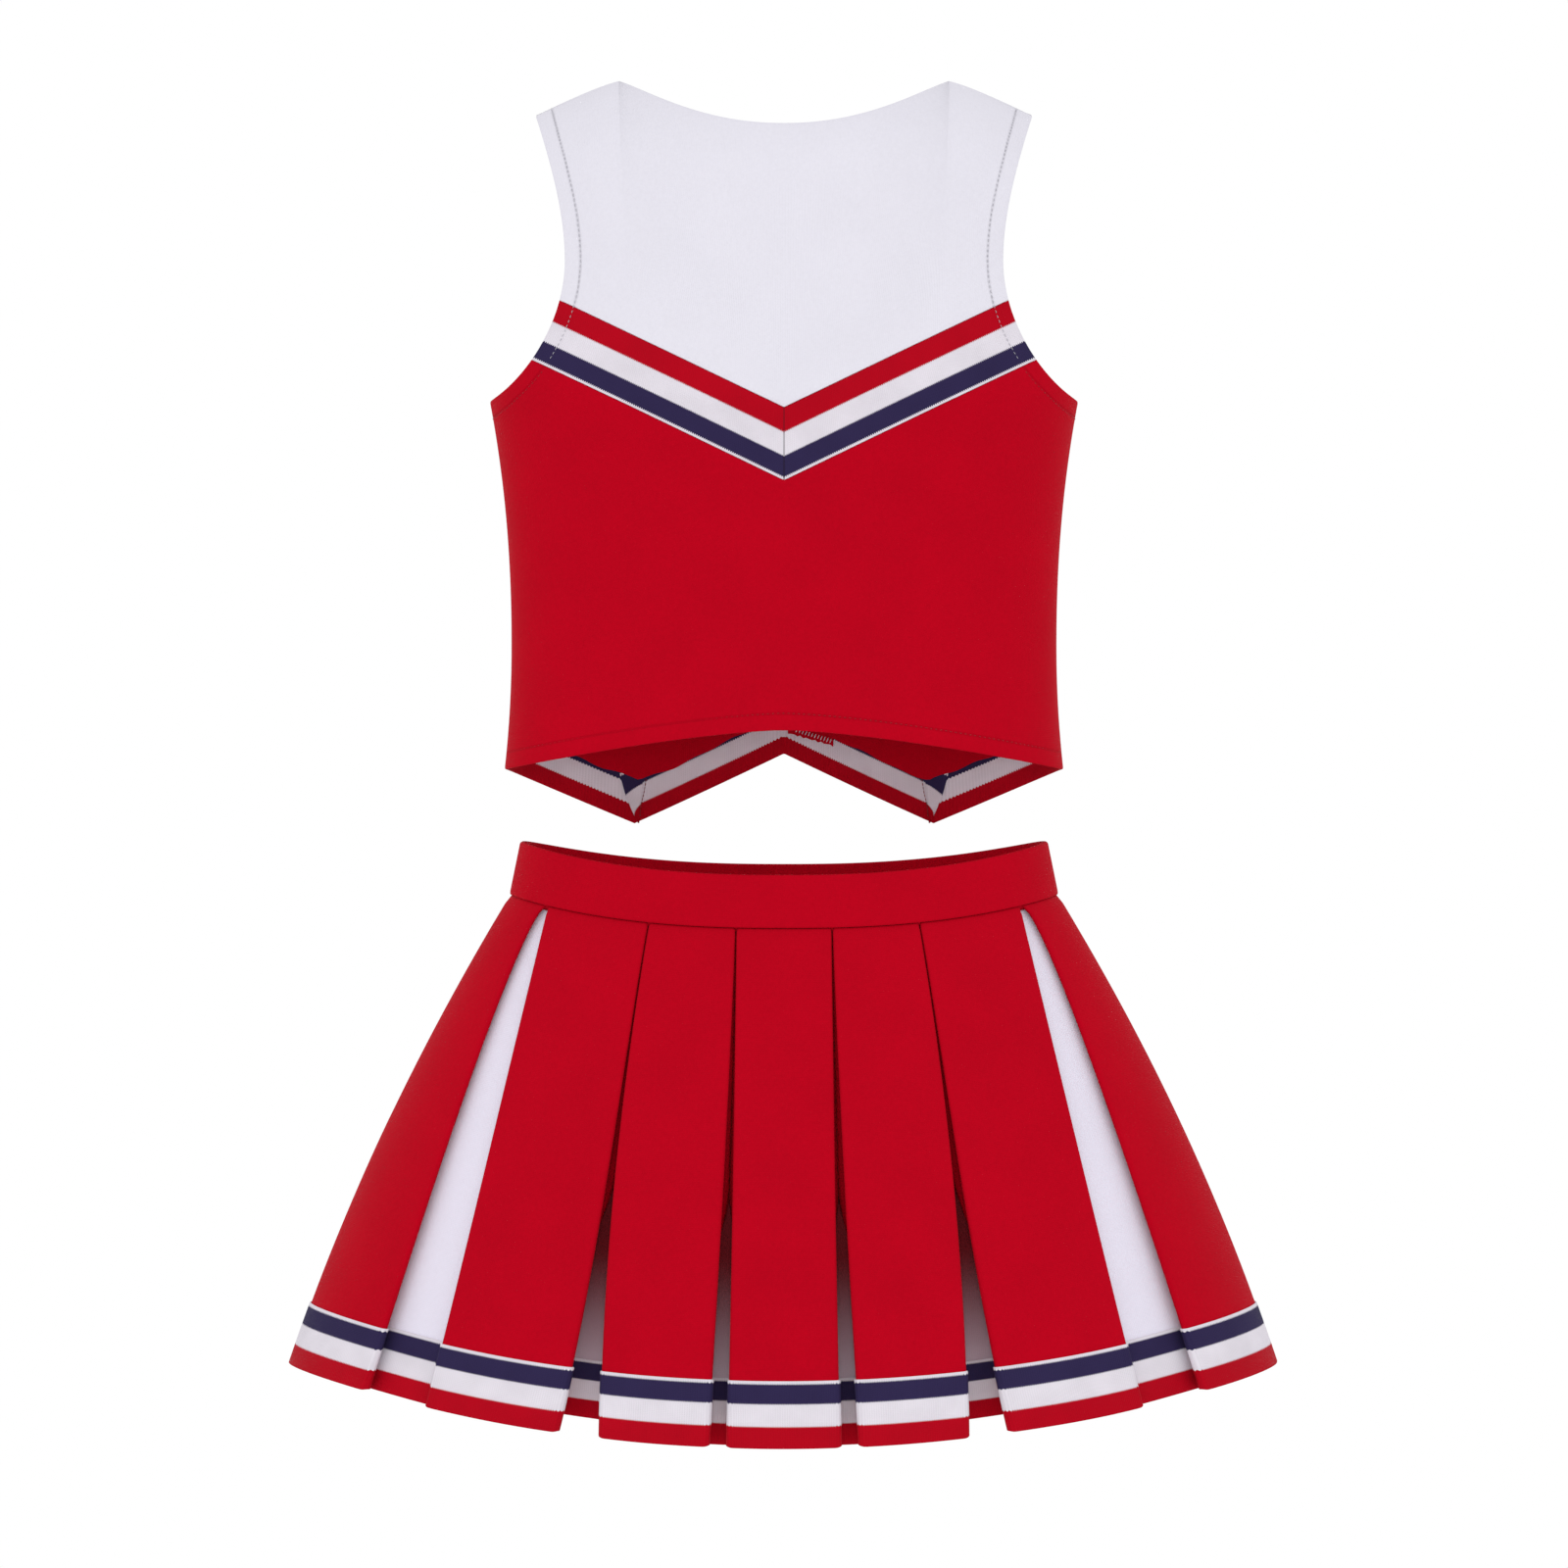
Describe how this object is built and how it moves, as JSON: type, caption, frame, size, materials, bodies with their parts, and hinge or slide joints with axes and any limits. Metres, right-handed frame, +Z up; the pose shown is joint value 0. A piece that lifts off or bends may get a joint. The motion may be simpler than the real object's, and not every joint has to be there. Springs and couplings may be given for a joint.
{
  "type": "cheer uniform",
  "caption": "Two-piece cheer uniform: a sleeveless shell top with a striped chevron and a zigzag front hem, and a box-pleated skirt with contrast inserts and a striped hem.",
  "frame": {"origin": "under the middle of the uniform, level with the lowest point of the skirt's hem", "axes": "+Z up; -Y is the way the wearer's back faces and +Y the way the wearer faces; +X is to the wearer's right"},
  "size_m": [0.5044, 0.3126, 0.6887],
  "materials": {
    "red_cloth": "matt double-knit polyester",
    "yoke_cloth": "matt double-knit polyester, white",
    "insert_cloth": "matt knit, white",
    "striped_braid": "ribbed braid in red, white and navy stripes",
    "facing_cloth": "thin white knit facing",
    "label_satin": "plain satin label with nothing printed on it",
    "zip_tape": "woven zip tape with nylon coils",
    "metal": "satin nickel plate"
  },
  "bodies": {
    "skirt": {"skirt_panel_01": "red_cloth", "skirt_panel_02": "red_cloth", "skirt_panel_03": "red_cloth", "skirt_panel_04": "red_cloth", "skirt_panel_05": "red_cloth", "skirt_panel_06": "red_cloth", "skirt_panel_07": "red_cloth", "skirt_panel_08": "red_cloth", "skirt_panel_09": "red_cloth", "skirt_panel_10": "red_cloth", "skirt_panel_11": "red_cloth", "skirt_panel_12": "red_cloth", "skirt_panel_13": "red_cloth", "skirt_panel_14": "red_cloth", "skirt_insert_01": "insert_cloth", "skirt_insert_02": "insert_cloth", "skirt_insert_03": "insert_cloth", "skirt_insert_04": "insert_cloth", "skirt_insert_05": "insert_cloth", "skirt_insert_06": "insert_cloth", "skirt_insert_07": "insert_cloth", "skirt_insert_08": "insert_cloth", "skirt_insert_09": "insert_cloth", "skirt_insert_10": "insert_cloth", "skirt_insert_11": "insert_cloth", "skirt_insert_12": "insert_cloth", "skirt_hem_braid_back": "striped_braid", "skirt_hem_braid_front": "striped_braid", "skirt_waistband_back": "red_cloth", "skirt_waistband_front": "red_cloth", "skirt_band_lining_back": "red_cloth", "skirt_band_lining_front": "red_cloth", "skirt_zip_tape_back": "zip_tape", "skirt_zip_tape_front": "zip_tape", "skirt_zip_stop": "metal", "skirt_hook": "metal", "skirt_hook_bar": "metal"},
    "top": {"top_yoke_back": "yoke_cloth", "top_yoke_front": "yoke_cloth", "top_chevron_back_right": "striped_braid", "top_chevron_back_left": "striped_braid", "top_chevron_front_right": "striped_braid", "top_chevron_front_left": "striped_braid", "top_body_back": "red_cloth", "top_body_front": "red_cloth", "top_hem_braid_inner_left": "striped_braid", "top_hem_braid_inner_right": "striped_braid", "top_hem_braid_outer_left": "striped_braid", "top_hem_braid_outer_right": "striped_braid", "top_armhole_facing_right": "facing_cloth", "top_armhole_facing_left": "facing_cloth", "top_neck_facing": "facing_cloth", "top_neck_label": "label_satin", "top_zip_tape_back": "zip_tape", "top_zip_tape_front": "zip_tape", "top_zip_stop": "metal"},
    "skirt_zip_pull": {"skirt_zip_pull": "metal"},
    "skirt_zip_slider": {"skirt_zip_slider": "metal"},
    "top_zip_pull": {"top_zip_pull": "metal"},
    "top_zip_slider": {"top_zip_slider": "metal"}
  },
  "joints": [
    {"name": "top_lift", "type": "slide", "parent": "skirt", "child": "top", "axis": [0, 0, 1], "range_m": [0, 0.12]},
    {"name": "top_zip_slide", "type": "slide", "parent": "top", "child": "top_zip_slider", "axis": [0.0437, 0, -0.999], "range_m": [0, 0.085]},
    {"name": "top_zip_pull_hinge", "type": "hinge", "parent": "top_zip_slider", "child": "top_zip_pull", "pos_m": [-0.14163, 0, 0.47819], "axis": [0, 1, 0], "range_deg": [0, 150]},
    {"name": "skirt_zip_slide", "type": "slide", "parent": "skirt", "child": "skirt_zip_slider", "axis": [-0.4728, 0, -0.8812], "range_m": [0, 0.085]},
    {"name": "skirt_zip_pull_hinge", "type": "hinge", "parent": "skirt_zip_slider", "child": "skirt_zip_pull", "pos_m": [-0.14656, 0, 0.25853], "axis": [0, 1, 0], "range_deg": [0, 150]}
  ]
}
